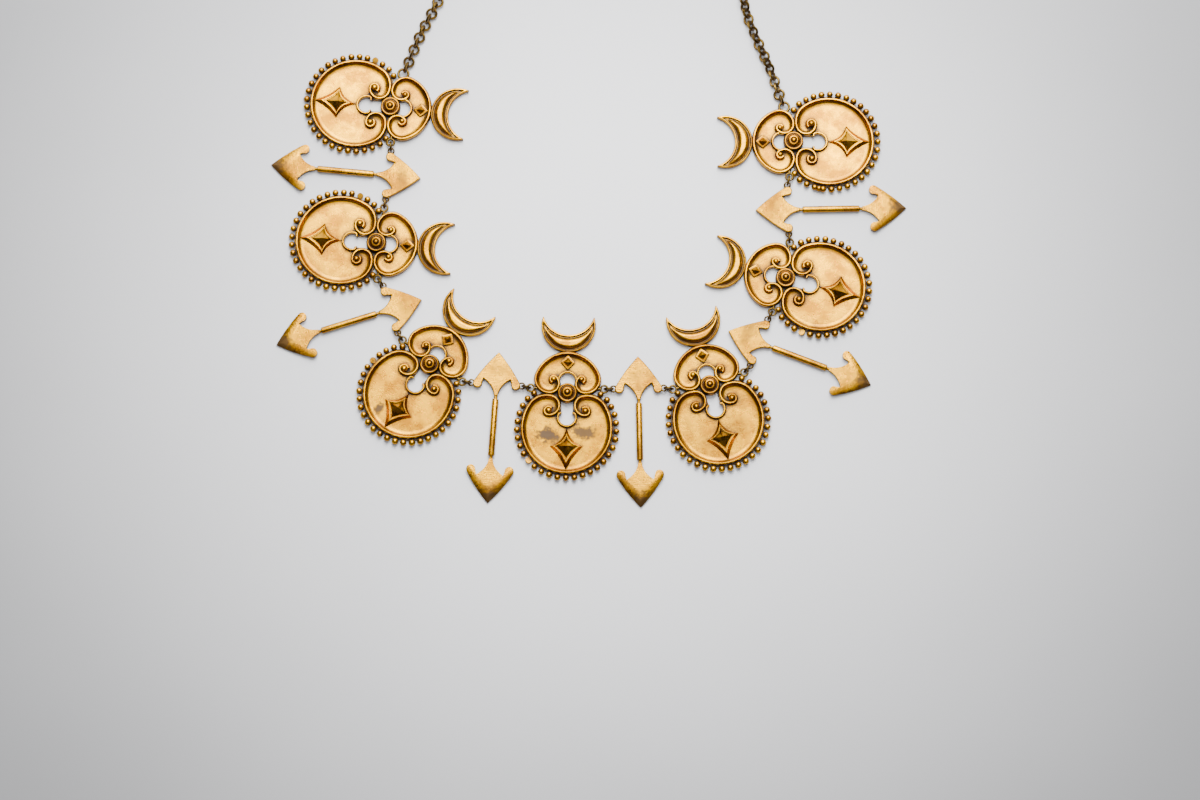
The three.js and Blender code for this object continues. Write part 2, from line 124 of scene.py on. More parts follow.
# Round profile of the ridges: share of the half width outward, and share of the height over the floor.
RIDGE_PROFILE = (
    (-1.05, -0.6), (-1.0, 0.25), (-0.9, 0.6), (-0.62, 0.87), (-0.25, 0.99), (0.25, 0.99), (0.62, 0.87),
    (0.9, 0.6), (1.0, 0.25), (1.05, -0.6),
)

# Hollow foot of the ridges on the inside, in millimetres from the ridge's middle and from the floor, and
# the angle before the curl at which it ends.
FOOT_PROFILE = (
    (-0.2, -0.2), (-0.2, 0.5), (-0.55, 0.62), (-0.72, 0.4), (-0.95, 0.22), (-1.25, 0.09), (-1.6, 0.03),
    (-2.0, 0.005), (-2.0, -0.2),
)
FOOT_STOP = 25

# Boss, from its foot to its crown: radius, and height as a share of the boss's height.
BOSS_PROFILE = (
    (0.0, 0.03), (3.15, 0.03), (3.3, 0.28), (3.2, 0.36), (2.98, 0.44), (2.9, 0.5), (3.05, 0.57),
    (3.08, 0.63), (2.98, 0.675), (2.78, 0.7), (2.58, 0.7), (2.38, 0.675), (2.24, 0.64), (2.14, 0.645),
    (2.08, 0.7), (1.94, 0.78), (1.66, 0.85), (1.34, 0.89), (1.12, 0.89), (1.0, 0.86), (0.92, 0.83),
    (0.85, 0.84), (0.8, 0.9), (0.6, 0.965), (0.3, 0.995), (0.0, 1.0),
)

# Star and diamond: share of the outline, and height in millimetres, from the foot to the peak. Their
# centres are seen from the boss. Each side is drawn in or out, toward a share of its middle's distance.
STAR_STEPS = (
    (1.0, 0.9), (1.0, 1.15), (0.72, 1.8), (0.68, 1.95), (0.61, 1.95), (0.57, 1.62), (0.52, 1.62),
)
STAR = {"centre": -17.15, "top": 6.0, "side": 5.2, "bottom": 7.75, "peak": 2.9, "narrowing": 0.55}
STAR_HOLLOWS = (0.42, 0.72, 0.72, 0.42)
DIAMOND_STEPS = ((1.0, 0.8), (1.0, 1.4), (0.92, 1.7), (0.8, 1.75), (0.73, 1.58), (0.66, 1.6))
DIAMOND = {"centre": 9.9, "top": 2.4, "side": 2.25, "peak": 2.5, "fullness": 1.04}

# Beads: how much they vary in size and place, the height of their middles, how far above a middle a
# sprue is cut, and the way that the cut faces.
BEAD = {"smallest": 0.94, "largest": 1.03, "stray": 0.06, "height": 1.16, "cut_rise": 0.35}
CUT_FACING = Vector((0.25, 0.35, 1))

# Beads whose sprue was cut flat: medallion, and the bead's place counted from the foot of the disc.
CUT_BEADS = {
    "medallion_1": -11, "medallion_2": -11, "medallion_3": -10, "medallion_4": -5, "medallion_6": -10,
}

# Medallions with smudges of their own.
STAINED = {"medallion_3": "stained_gold", MIDDLE: "smudged_gold"}

# Beads that ran together: medallion, and the place of the metal between them.
JOINED_BEADS = {"medallion_7": -10.5}

# Metals: colour, the open share of a recess where patina and painted shade end and where they are full,
# brown film on slopes, partly painted shade, depth of scratches, and marks as centre, size and strength in
# the piece's own frame.
FLOOR_GOLD = {"colour": "gold", "patina_and_shade": (0.9, 0.54), "film_and_shade": 0.75, "scratches": 0.4}
METALS = {
    "antique_gold": FLOOR_GOLD,
    "stained_gold": {**FLOOR_GOLD, "marks": (((-5.0, -20.8, 0), (1.7, 2.3, 1), 0.75),)},
    "smudged_gold": {
        **FLOOR_GOLD,
        "marks": (((-5.8, -13.4, 0), (3.9, 2.8, 1), 0.95), ((5.4, -12.5, 0), (4.3, 2.7, 1), 0.7)),
    },
    # The boss takes the deeper gold all over, painted shade that darkens it against the floor.
    "boss_gold": {"colour": "deep_gold", "patina_and_shade": (0.9, 0.5), "film_and_shade": 0.9, "scratches": 0.2},
    "relief_gold": {"colour": "gold", "patina_and_shade": (0.6, 0.3), "film_and_shade": 0.8, "scratches": 0.2},
    # On the beads the film paints shade on their sides, so that only their tops stay bright.
    "bead_gold": {"colour": "gold", "patina_and_shade": (0.86, 0.45), "film_and_shade": 0.95, "scratches": 0.1},
    "brushed_gold": {
        "colour": "gold", "patina_and_shade": (0.75, 0.4), "film_and_shade": 0.95, "scratches": 1.9,
        # The first mark paints shade on the outer head's tip, where its surface turns down from the light;
        # the second is a faint mark on the inner head.
        "marks": (((0.5, -23.0, 0), (4.2, 4.4, 1), 0.6), ((1.5, 18.5, 0), (4.5, 2.2, 1), 0.15)),
    },
    "antique_brass": {"colour": "brass", "patina_and_shade": (0.82, 0.4), "film_and_shade": 0.8, "scratches": 0.3},
}

# Eyes beside the waist: radius, wire, rise above the boss, reach beyond the lobe's ridge, and height. A
# foot joins each to the ridge, a little lower than its wire.
RING_EYE = {"radius": 1.15, "wire": 0.7, "rise": 1.45, "reach": 1.95, "height": 1.45}
CHAIN_EYE = {"radius": 1.62, "wire": 0.88, "rise": 2.9, "reach": 0.9, "height": 1.7}
EYE_FOOT = {"radius": 0.5, "shortest": 0.3, "drop": 0.1}

# Rings between medallions and arrows: radius to the middle of the wire.
RING_RADIUS = 1.36

# Arrows: length from tip to tip, and the heads, measured from their own tips: half width, bulge of the
# sides, half width of the neck, round barbs, notch beside a barb, and throat of the hollow behind it.
ARROW_LENGTH = 48.5
HEAD = {"half_width": 7.55, "length": 14.2, "thickness": 1.8, "bulge": 0.35, "neck": 0.55}
BARB = {"radius": 1.44, "reach": 10.4, "until": 190}
NOTCH = Vector((4.3, 8.8, 0))
THROAT = Vector((1.0, 10.8, 0))
ARROW_EYE = {"radius": 0.95, "wire": 0.56, "stand": 0.46, "height": 1.45}

# Slopes at an arrow's outer tip: height of their edge, width, turn from the side's own direction, and
# the shares of the width at which they are cut.
TIP_SLOPE = {"edge": 0.7, "width": 3.9, "turn": 8.0, "cuts": (0.12, 0.3, 0.48, 0.66, 0.84, 1.0)}

# Between the heads: gap from a head's end to the shaft, and the thin neck, which runs past the shaft at
# each end by its overlap and lies lower by its drop.
SHAFT_GAP = 0.9
NECK = {"diameter": 1.05, "overlap": 1.3, "drop": 0.05}

# Chosen points of the chain's route, from its first link to the hook, seen from the middle boss.
CHAIN_ROUTES = {
    "left": ((-47.8, 118.8), (-41.9, 130.7), (-34.5, 147.0), (-22.5, 162.5), (-6.5, 173.0)),
    "right": ((65.3, 107.3), (58.6, 124.0), (54.5, 142.0), (45.0, 159.5), (31.5, 171.5)),
}

# Chain links: how many at the start are held upright or flat, roll of the right side, loose roll either
# way, and how far the middle of a flat link lies below the height of its radius.
CHAIN_LIE = {"settling": 3, "right_roll": 40, "loose_roll": 9, "dip": 0.45}

# Hook: sweep of each bend, and size of its round ends as a share of its wire's.
HOOK = {"sweep": 290.0, "end": 1.1}

# Starts of the random draws for the beads and the chain.
BEAD_SEED = 7
CHAIN_SEED = 11

# Faces with more corners than this are level ends and tops, whose edges are always shaded sharp.
LARGEST_CURVED_FACE = 8

# The photograph's view: its middle seen from the middle boss, the camera's distance, its lean from
# straight above, and the width that it takes in.
LOOK_AT = Vector((10.39, -1.97, 0))
VIEW_DISTANCE = 0.9
VIEW_LEAN = 10.0
VIEW_WIDTH = 0.382
SENSOR_WIDTH = 36.0

# Soft lights: place seen from their aim, width and depth, spread in degrees, and power in watts. The aim
# is seen from the middle of the view, all in metres.
LIGHT_AIM = Vector((0, 0.08, 0))
LIGHTS = {
    "key_light": ((0.02, 0.25, 0.43), (0.4, 0.36), 80.0, 2.15),
    "top_light": ((0.0, -0.07, 0.5), (0.6, 0.34), 120.0, 0.9),
    "low_light": ((0.05, 0.55, 0.24), (1.5, 0.4), 140.0, 4.0),
}
WORLD = {"colour": (0.9, 0.94, 1.0, 1.0), "strength": 0.05}

# Paper: half its width, where it is brightest as seen from the middle of the view, the distances over
# which it darkens, and how dark it gets. The darkening is painted shade, the light falling off toward the
# edges.
PAPER = {"reach": 4.0, "brightest": Vector((0, 0.02, 0)), "fall": (0.03, 0.25), "shade": 0.48}

# Values between which nearly all of a noise lies.
NOISE_SPAN = (0.3, 0.7)


def length_property(name, description, default):
    """A length that the user can change, its default in millimetres."""
    return FloatProperty(name=name, description=description, default=default * MM, unit="LENGTH")


def colour_property(name, description, default):
    """A colour that the user can change."""
    return FloatVectorProperty(name=name, description=description, default=default, size=3, subtype="COLOR")


class NecklaceSizes(bpy.types.PropertyGroup):
    """Sizes of the castings and of the wire."""

    floor_height: length_property("Floor height", "Thickness of the cast floor", 1.0)
    ridge_width: length_property("Ridge width", "Width of the scroll ridges", 1.16)
    ridge_height: length_property("Ridge height", "Height of the scroll ridges", 2.4)
    lip_width: length_property("Lip width", "Width of the keyhole's lip", 0.891)
    bead_diameter: length_property("Bead diameter", "Diameter of a bead", 2.2)
    bead_pitch: length_property("Bead pitch", "Spacing of the beads along the rim", 2.7)
    bead_offset: length_property("Bead offset", "From the ridge's middle to the beads'", 1.75)
    beads_a_side: IntProperty(
        name="Beads a side", description="Beads on each side of the one at the foot", default=14, min=1
    )
    boss_height: length_property("Boss height", "Height of the boss on the waist", 4.2)
    shaft_diameter: length_property("Shaft diameter", "Diameter of an arrow's shaft", 2.1)
    ring_wire: length_property("Ring wire", "Wire of the rings between the pieces", 0.68)
    link_diameter: length_property("Link diameter", "Outer diameter of a chain link", 4.0)
    link_wire: length_property("Link wire", "Wire of a chain link", 0.9)
    link_pitch: length_property("Link pitch", "Spacing of the chain links", 2.25)


class NecklaceFinish(bpy.types.PropertyGroup):
    """Colours of the antique finish and the paper; the film and patina colours also paint shade."""

    gold: colour_property("Gold", "Bright rubbed gold", (0.64, 0.3, 0.0))
    deep_gold: colour_property("Deep gold", "Browner gold between the rubbed places", (0.34, 0.135, 0.002))
    # Brown film, which also paints shade on slopes and walls.
    film_and_shade: colour_property("Film", "Brown film on slopes and walls", (0.125, 0.062, 0.014))
    # Dark brown of the patina and of the painted shade in recesses.
    patina_and_shade: colour_property("Patina", "Dark brown in the recesses", (0.024, 0.011, 0.003))
    brass: colour_property("Brass", "Wire of the rings and the chain", (0.13, 0.078, 0.014))
    paper: colour_property("Paper", "Pale paper under the necklace", (0.78, 0.78, 0.8))
    # How far the patina, and the painted shade with it, reaches out of a recess.
    recess_reach: length_property("Recess reach", "How far the patina creeps out of a recess", 1.8)


def in_mm(size):
    return size / MM


def polar(centre, radius, angle):
    """The point at a radius and an angle, in degrees, from a centre."""
    turn = math.radians(angle)
    return Vector((centre.x + radius * math.cos(turn), centre.y + radius * math.sin(turn), 0))


def arc_points(centre, radius, start, until, steps):
    """Evenly spaced points along an arc, both ends included."""
    return [polar(centre, radius, start + (until - start) * i / steps) for i in range(steps + 1)]


def quadratic(start, pull, end, steps):
    """Points on a curve from start to end that leans toward pull."""
    points = []
    for i in range(steps + 1):
        t = i / steps
        points.append(start * (1 - t) ** 2 + pull * 2 * t * (1 - t) + end * t * t)
    return points


def tangent_arcs(rows, centre, start):
    """Arcs as dictionaries, each starting where the one before it ends."""
    arcs = []
    for radius, until in rows:
        if arcs:
            last = arcs[-1]
            centre = polar(last["centre"], last["radius"] - radius, last["until"])
            start = last["until"]
        arcs.append({"centre": centre, "radius": radius, "start": start, "until": until})
    return arcs


def scroll_arcs(rows, start, toward):
    """A scroll's arcs, set so that its third arc stops short of the waist."""
    third = tangent_arcs(rows, ORIGIN, start)[2]
    edge = third["centre"].y + toward * third["radius"]
    centre = Vector((0, -WAIST_DROP - toward * WAIST_SPACING / 2 - edge, 0))
    return tangent_arcs(rows, centre, start)


DISC_ARCS = scroll_arcs(DISC_SCROLL, 270.0, 1)
LOBE_ARCS = scroll_arcs(LOBE_SCROLL, 90.0, -1)


def place_along(arcs, offset, length):
    """The place at a length along the offset arcs."""
    for arc in arcs:
        radius = arc["radius"] + offset
        sweep = arc["until"] - arc["start"]
        reach = radius * math.radians(abs(sweep))
        if length <= reach:
            angle = arc["start"] + math.copysign(math.degrees(length / radius), sweep)
            return polar(arc["centre"], radius, angle)
        length -= reach
    raise ValueError("the beads run past the end of the ridge")


def loop_of(bm, points):
    """A closed loop of new edges through points."""
    verts = [bm.verts.new(point) for point in points]
    edges = [bm.edges.new(pair) for pair in zip(verts, verts[1:] + verts[:1])]
    return verts, edges


def fill(bm, edges):
    bmesh.ops.edgeloop_fill(bm, edges=edges)


def edges_in(geometry):
    return [element for element in geometry if isinstance(element, bmesh.types.BMEdge)]


def verts_in(geometry):
    return [element for element in geometry if isinstance(element, bmesh.types.BMVert)]


def slab(bm, outline, height):
    """An outline filled and raised to a height."""
    _, edges = loop_of(bm, outline)
    fill(bm, edges)
    raised = bmesh.ops.extrude_face_region(bm, geom=bm.faces[:])["geom"]
    bmesh.ops.translate(bm, vec=UP * height, verts=verts_in(raised))


def rod(bm, radius, length, matrix, segments):
    """A closed round rod along Z, then moved by matrix."""
    bmesh.ops.create_cone(
        bm, cap_ends=True, cap_tris=False, segments=segments, radius1=radius, radius2=radius,
        depth=length, matrix=matrix,
    )


def sweep_arcs(bm, profile, arcs, step=7.5, cap_start=False):
    """Spins a closed profile of (outward, up) pairs along tangent arcs, and closes its far end."""
    first = arcs[0]
    points = [polar(first["centre"], first["radius"] + out, first["start"]) + UP * up for out, up in profile]
    verts, edges = loop_of(bm, points)
    geometry = verts + edges
    for arc in arcs:
        sweep = arc["until"] - arc["start"]
        geometry = bmesh.ops.spin(
            bm, geom=geometry, cent=arc["centre"], axis=UP, angle=math.radians(sweep),
            steps=max(2, round(abs(sweep) / step)), use_merge=False, use_duplicate=False,
        )["geom_last"]
    fill(bm, edges_in(geometry))
    if cap_start:
        fill(bm, edges)


def mirror_and_weld(bm):
    """Adds the right half to a left half and joins the two."""
    geometry = bm.verts[:] + bm.edges[:] + bm.faces[:]
    bmesh.ops.mirror(bm, geom=geometry, axis="X", merge_dist=WELD)
    bmesh.ops.remove_doubles(bm, verts=bm.verts[:], dist=WELD)


def raise_steps(bm, outline, steps, peak=None):
    """Raises a loop of points through (place, height) steps. outline gives the points of a place."""
    verts, edges = loop_of(bm, [point + UP * steps[0][1] for point in outline(steps[0][0])])
    fill(bm, edges)
    for place, height in steps[1:]:
        raised = bmesh.ops.extrude_edge_only(bm, edges=edges)["geom"]
        fresh = set(verts_in(raised))
        edges = [edge for edge in edges_in(raised) if fresh.issuperset(edge.verts)]
        partner = {}
        for vert in fresh:
            for edge in vert.link_edges:
                if edge.other_vert(vert) not in fresh:
                    partner[edge.other_vert(vert)] = vert
        verts = [partner[vert] for vert in verts]
        for vert, point in zip(verts, outline(place)):
            vert.co = point + UP * height
    if peak is None:
        fill(bm, edges)
        return
    raised = bmesh.ops.extrude_edge_only(bm, edges=edges)["geom"]
    bmesh.ops.pointmerge(bm, verts=verts_in(raised), merge_co=peak)


def spin_round(bm, steps):
    """Spins everything once round the Z axis."""
    bmesh.ops.spin(
        bm, geom=bm.verts[:] + bm.edges[:], cent=ORIGIN, axis=UP, angle=math.tau, steps=steps,
        use_merge=True, use_duplicate=False,
    )


def lathe(bm, profile, steps):
    """Spins (radius, height) pairs round the Z axis, closed at both poles."""
    verts = [bm.verts.new((radius, 0, height)) for radius, height in profile]
    for pair in zip(verts, verts[1:]):
        bm.edges.new(pair)
    spin_round(bm, steps)
    bmesh.ops.remove_doubles(bm, verts=bm.verts[:], dist=WELD / 2)


def wire_ring(bm, radius, wire, steps, sides, matrix):
    """A ring of round wire in the XY plane, then moved by matrix."""
    bmesh.ops.create_circle(
        bm, cap_ends=False, segments=sides, radius=wire / 2,
        matrix=Matrix.Translation((radius, 0, 0)) @ ON_EDGE,
    )
    spin_round(bm, steps)
    bmesh.ops.transform(bm, matrix=matrix, verts=bm.verts[:])


def rounded(bm, edges, width, segments=2):
    """Rounds edges off by a width."""
    bmesh.ops.bevel(
        bm, geom=edges, offset=width, offset_type="OFFSET", segments=segments, profile=0.5,
        affect="EDGES", clamp_overlap=True, material=-1,
    )


def rise_of(edge):
    """How much higher one end of an edge lies than the other."""
    return abs(edge.verts[0].co.z - edge.verts[1].co.z)


def sharp_edges(bm, angle):
    """Edges at which the surface turns by more than an angle, in degrees."""
    limit = math.radians(angle)
    return [edge for edge in bm.edges if len(edge.link_faces) == 2 and edge.calc_face_angle(0) > limit]


class Form:
    """A shape in millimetres that gathers separately modelled, closed parts.

    Edges that turn by more than the crisp angle, in degrees, are shaded sharp.
    """

    def __init__(self, crisp=38):
        self.mesh = bpy.data.meshes.new("form")
        self.crisp = crisp

    def add(self, build, matrix=Matrix.Identity(4)):
        """Runs build on an empty bmesh and adds the outcome, moved by a matrix that mirrors nothing."""
        part = bmesh.new()
        build(part)
        bmesh.ops.recalc_face_normals(part, faces=part.faces[:])
        bmesh.ops.transform(part, matrix=matrix, verts=part.verts[:])
        part.from_mesh(self.mesh)
        part.to_mesh(self.mesh)
        part.free()
        return self


def add_piece(name, form, place, turn, metal, slot, *nodes):
    """Puts a form in the scene, placed and turned in its mesh, in place of the nodes."""
    bm = bmesh.new()
    bm.from_mesh(form.mesh)
    lie = bm.loops.layers.uv.new("lie")
    for face in bm.faces:
        face.smooth = True
        for corner in face.loops:
            corner[lie].uv = corner.vert.co.xy
    for edge in bm.edges:
        level = any(len(face.verts) > LARGEST_CURVED_FACE for face in edge.link_faces)
        edge.smooth = not level and edge.calc_face_angle(0) < math.radians(form.crisp)
    matrix = Matrix.Translation(place) @ Matrix.Rotation(turn, 4, "Z") @ Matrix.Scale(MM, 4)
    bmesh.ops.transform(bm, matrix=matrix, verts=bm.verts[:])
    mesh = bpy.data.meshes.new(name)
    bm.to_mesh(mesh)
    bm.free()
    mesh.materials.append(metal_material(metal))
    piece = bpy.data.objects.new(name, mesh)
    bpy.context.scene.collection.objects.link(piece)
    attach(piece, "root")
    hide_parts(*nodes)


def corners_of(node):
    """The corners of a node's solid, in millimetres."""
    return [vert.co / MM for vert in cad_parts[node].data.vertices]


def mean(points):
    return sum(points, ORIGIN) / len(points)


def turn_from_upright(along):
    """How far a direction is turned from +Y, in radians."""
    return math.atan2(along.y, along.x) - math.pi / 2


def medallion_lie(node):
    """Where a medallion's boss is, in metres, and how far it is turned from upright."""
    corners = corners_of(node)
    crown = max(corner.z for corner in corners)
    boss = mean([corner for corner in corners if corner.z > crown - SAME_HEIGHT])
    star = mean([corner for corner in corners if abs(corner.z - STAR_PEAK) < SAME_HEIGHT])
    return Vector((boss.x, boss.y, 0)) * MM, turn_from_upright(boss - star)


def arrow_lie(node):
    """Where the middle of an arrow's shaft is, and how far it is turned from upright."""
    corners = corners_of(node)
    middle = mean([Vector((corner.x, corner.y, 0)) for corner in corners])
    far = max(corners, key=lambda corner: (corner.xy - middle.xy).length)
    other = max(corners, key=lambda corner: (corner.xy - far.xy).length)
    edge = mean([corner for corner in corners if abs(corner.z - TIP_EDGE_HEIGHT) < SAME_HEIGHT])
    outer, inner = sorted((far, other), key=lambda tip: (tip.xy - edge.xy).length)
    centre = (outer + inner) / 2
    return Vector((centre.x, centre.y, 0)) * MM, turn_from_upright(inner - outer)


def ring_lie(node):
    """The middle of a ring on edge, and the direction of its plane."""
    corners = corners_of(node)
    low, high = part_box(node)
    middle = (low + high) / 2
    far = max(corners, key=lambda corner: (corner.xy - middle.xy / MM).length)
    along = far.xy - middle.xy / MM
    return middle, math.atan2(along.y, along.x)


def offset_arc(arc, offset, until, steps):
    """Points beside an arc, from its start to an angle."""
    return arc_points(arc["centre"], arc["radius"] + offset, arc["start"], until, steps)


def keyhole_edge(end, steps):
    """The left half of the floor's edge round one end of the keyhole, from its middle to the waist."""
    return arc_points(end["centre"], end["edge"], end["toward"], end["edge_end"], steps)


def half_plate(bm, sizes):
    """The left half of a medallion's floor, open where it meets the right half."""
    ledge = FLOOR["ledge"]
    rim = in_mm(sizes.ridge_width) / 2
    disc, shoulder = DISC_ARCS[:2]
    lobe, cheek = LOBE_ARCS[:2]
    outline = [
        *offset_arc(disc, ledge, disc["until"], 30),
        *offset_arc(shoulder, ledge, FLOOR["shoulder_end"], 9)[1:],
        *reversed(offset_arc(cheek, rim, FLOOR["cheek_end"], 14)),
        *reversed(offset_arc(lobe, rim, lobe["until"], 16)[:-1]),
        *keyhole_edge(KEYHOLE_HEAD, 14),
        *KEYHOLE_WAIST,
        *reversed(keyhole_edge(KEYHOLE_FOOT, 16)),
    ]
    slab(bm, outline, in_mm(sizes.floor_height))
    seam = [face for face in bm.faces if all(abs(vert.co.x) < WELD for vert in face.verts)]
    bmesh.ops.delete(bm, geom=seam, context="FACES_ONLY")


def plate(bm, sizes):
    """A medallion's floor, with its rims rounded."""
    half_plate(bm, sizes)
    mirror_and_weld(bm)
    bmesh.ops.recalc_face_normals(bm, faces=bm.faces[:])
    rims = [edge for edge in sharp_edges(bm, 60) if rise_of(edge) < SAME_HEIGHT]
    rounded(bm, rims, SOFTENING["floor"])


def ridge_profile(width, top, floor):
    """The round profile at a width, from a floor up to a top."""
    return [(out * width / 2, floor + up * (top - floor)) for out, up in RIDGE_PROFILE]


def scroll_ridges(bm, sizes, arcs):
    """The two ridges that follow a scroll, one on each side."""
    width, top, floor = (in_mm(size) for size in (sizes.ridge_width, sizes.ridge_height, sizes.floor_height))
    sweep_arcs(bm, ridge_profile(width, top, floor), arcs)
    mirror_and_weld(bm)


def ridge_foot(bm, sizes, arcs):
    """The hollow foot along the inside of a ridge, which ends before the curl."""
    floor = in_mm(sizes.floor_height)
    profile = [(out, floor + up) for out, up in FOOT_PROFILE]
    short = [dict(arc) for arc in arcs[:3]]
    short[2]["until"] -= math.copysign(FOOT_STOP, short[2]["until"] - short[2]["start"])
    sweep_arcs(bm, profile, short)
    mirror_and_weld(bm)


def keyhole_lip(bm, sizes, end):
    """The lip round one end of the keyhole, with its own ends hooked inward where they have a hook."""
    floor = in_mm(sizes.floor_height)
    top = floor + LIP["rise"] * (in_mm(sizes.ridge_height) - floor)
    until = end["toward"] - end["spread"]
    rows = [(end["lip"], until)]
    if end["hook"]:
        rows.append((end["hook"], until - LIP["hook_sweep"]))
    profile = ridge_profile(in_mm(sizes.lip_width), top, floor)
    sweep_arcs(bm, profile, tangent_arcs(rows, end["centre"], end["toward"]), step=9)
    mirror_and_weld(bm)


def curl_balls(bm, sizes, arcs, radius):
    """The balls in the middle of a scroll's two curls."""
    centre = arcs[-1]["centre"] + UP * (in_mm(sizes.ridge_height) - CURL_BALL["sink"])
    matrix = Matrix.Translation(centre) @ Matrix.Diagonal((1, 1, CURL_BALL["stretch"], 1))
    bmesh.ops.create_icosphere(bm, subdivisions=3, radius=radius, matrix=matrix)
    mirror_and_weld(bm)


def sides_between_tips(top, side, bottom):
    """Four tips and the next tip round from each, starting at the top."""
    tips = [Vector((0, top, 0)), Vector((-side, 0, 0)), Vector((0, -bottom, 0)), Vector((side, 0, 0))]
    return list(zip(tips, tips[1:] + tips[:1]))


def star_outline(share):
    """The star's outline about its own middle: four tips with hollow sides between them."""
    sides = sides_between_tips(STAR["top"], STAR["side"], STAR["bottom"])
    points = []
    for (start, end), hollow in zip(sides, STAR_HOLLOWS):
        for point in quadratic(start, (start + end) / 2 * hollow, end, 8)[:-1]:
            points.append(Vector((point.x * share ** STAR["narrowing"], point.y * share, 0)))
    return points


def diamond_outline(share):
    """The small diamond's outline about its own middle, with slightly full sides."""
    points = []
    for start, end in sides_between_tips(DIAMOND["top"], DIAMOND["side"], DIAMOND["top"]):
        points += [start * share, (start + end) / 2 * DIAMOND["fullness"] * share]
    return points


def crescent_outline(inset):
    """Points round the crescent, drawn in by an inset, in the same order at every inset."""
    outer = CRESCENT["radius"] - inset
    hollow = CRESCENT["hollow"] + inset
    shift = CRESCENT["shift"]
    rise = (shift**2 + outer**2 - hollow**2) / (2 * shift)
    lobe = LOBE_ARCS[0]
    foot = lobe["centre"].y + lobe["radius"] + CRESCENT["seat"]
    centre = Vector((0, foot + CRESCENT["radius"], 0))
    hollow_centre = centre + Vector((0, shift, 0))
    outer_tip = math.degrees(math.asin(rise / outer)) - CRESCENT["tip_cut"]
    hollow_tip = math.degrees(math.asin((rise - shift) / hollow)) - CRESCENT["tip_cut"]
    return [
        *arc_points(centre, outer, 180 - outer_tip, 360 + outer_tip, 36),
        *arc_points(hollow_centre, hollow, 360 + hollow_tip, 180 - hollow_tip, 30),
    ]


def lobe_face(rise, rim):
    """How far out the lobe's ridge reaches beside the waist, at a height above the boss."""
    cheek = LOBE_ARCS[1]
    return -cheek["centre"].x + math.sqrt((cheek["radius"] + rim) ** 2 - (rise - cheek["centre"].y) ** 2)


def flat_eye(form, eye, side, sizes):
    """A soldered ring beside the waist, and its foot."""
    rim = in_mm(sizes.ridge_width) / 2
    x = lobe_face(eye["rise"], rim) + eye["reach"]
    place = Matrix.Translation((side * x, eye["rise"], eye["height"]))
    form.add(lambda bm: wire_ring(bm, eye["radius"], eye["wire"], 28, 10, place))
    length = eye["reach"] - eye["radius"] + rim
    middle = x - eye["radius"] - length / 2
    lay = Matrix.Translation((side * middle, eye["rise"], eye["height"] - EYE_FOOT["drop"]))
    lay = lay @ Matrix.Rotation(math.pi / 2, 4, "Y")
    form.add(lambda bm: rod(bm, EYE_FOOT["radius"], max(length, EYE_FOOT["shortest"]), lay, 12))


def eyes_form(sizes, left_eye, right_eye):
    """The two eyes of one medallion."""
    form = Form()
    flat_eye(form, left_eye, -1, sizes)
    flat_eye(form, right_eye, 1, sizes)
    return form


def casting_form(sizes):
    """One medallion without its boss, star, diamond, beads and eyes."""
    form = Form()
    form.add(lambda bm: plate(bm, sizes))
    for arcs, ball in ((DISC_ARCS, CURL_BALL["disc"]), (LOBE_ARCS, CURL_BALL["lobe"])):
        form.add(lambda bm: scroll_ridges(bm, sizes, arcs))
        form.add(lambda bm: ridge_foot(bm, sizes, arcs))
        form.add(lambda bm: curl_balls(bm, sizes, arcs, ball))
    for end in (KEYHOLE_FOOT, KEYHOLE_HEAD):
        form.add(lambda bm: keyhole_lip(bm, sizes, end))
    form.add(lambda bm: raise_steps(bm, crescent_outline, CRESCENT_STEPS))
    return form


def boss_form(sizes):
    """The stepped boss on the waist."""
    height = in_mm(sizes.boss_height)
    profile = [(radius, share * height) for radius, share in BOSS_PROFILE]
    return Form().add(lambda bm: lathe(bm, profile, 40))


def relief_form():
    """The star and the diamond of one medallion."""
    form = Form(crisp=16)
    star = (STAR, star_outline, STAR_STEPS)
    diamond = (DIAMOND, diamond_outline, DIAMOND_STEPS)
    for shape, outline, steps in (star, diamond):
        place = Matrix.Translation((0, shape["centre"], 0))
        form.add(lambda bm: raise_steps(bm, outline, steps, UP * shape["peak"]), place)
    return form


def bead_form(sizes, chance, cut, joined):
    """The row of beads round a disc.

    The bead numbered cut has its sprue cut flat, and one more bead at joined fills a gap.
    """
    form = Form()
    offset = in_mm(sizes.bead_offset)
    numbers = [*range(-sizes.beads_a_side, sizes.beads_a_side + 1)]
    if joined is not None:
        numbers.append(joined)
    for number in numbers:
        place = place_along(DISC_ARCS, offset, abs(number) * in_mm(sizes.bead_pitch))
        place.x *= -1 if number > 0 else 1
        radius = in_mm(sizes.bead_diameter) / 2 * chance.uniform(BEAD["smallest"], BEAD["largest"])
        stray = [chance.uniform(-BEAD["stray"], BEAD["stray"]) for _ in range(2)]
        centre = place + Vector((*stray, BEAD["height"]))

        def bead(bm):
            bmesh.ops.create_icosphere(bm, subdivisions=2, radius=radius, matrix=Matrix.Translation(centre))
            if number == cut:
                cut_flat(bm, centre + UP * BEAD["cut_rise"], CUT_FACING)

        form.add(bead)
    return form


def cut_flat(bm, point, normal):
    """Cuts away what lies beyond a plane and closes the cut."""
    everything = bm.verts[:] + bm.edges[:] + bm.faces[:]
    made = bmesh.ops.bisect_plane(
        bm, geom=everything, plane_co=point, plane_no=normal, clear_outer=True, dist=1e-5
    )["geom_cut"]
    fill(bm, edges_in(made))


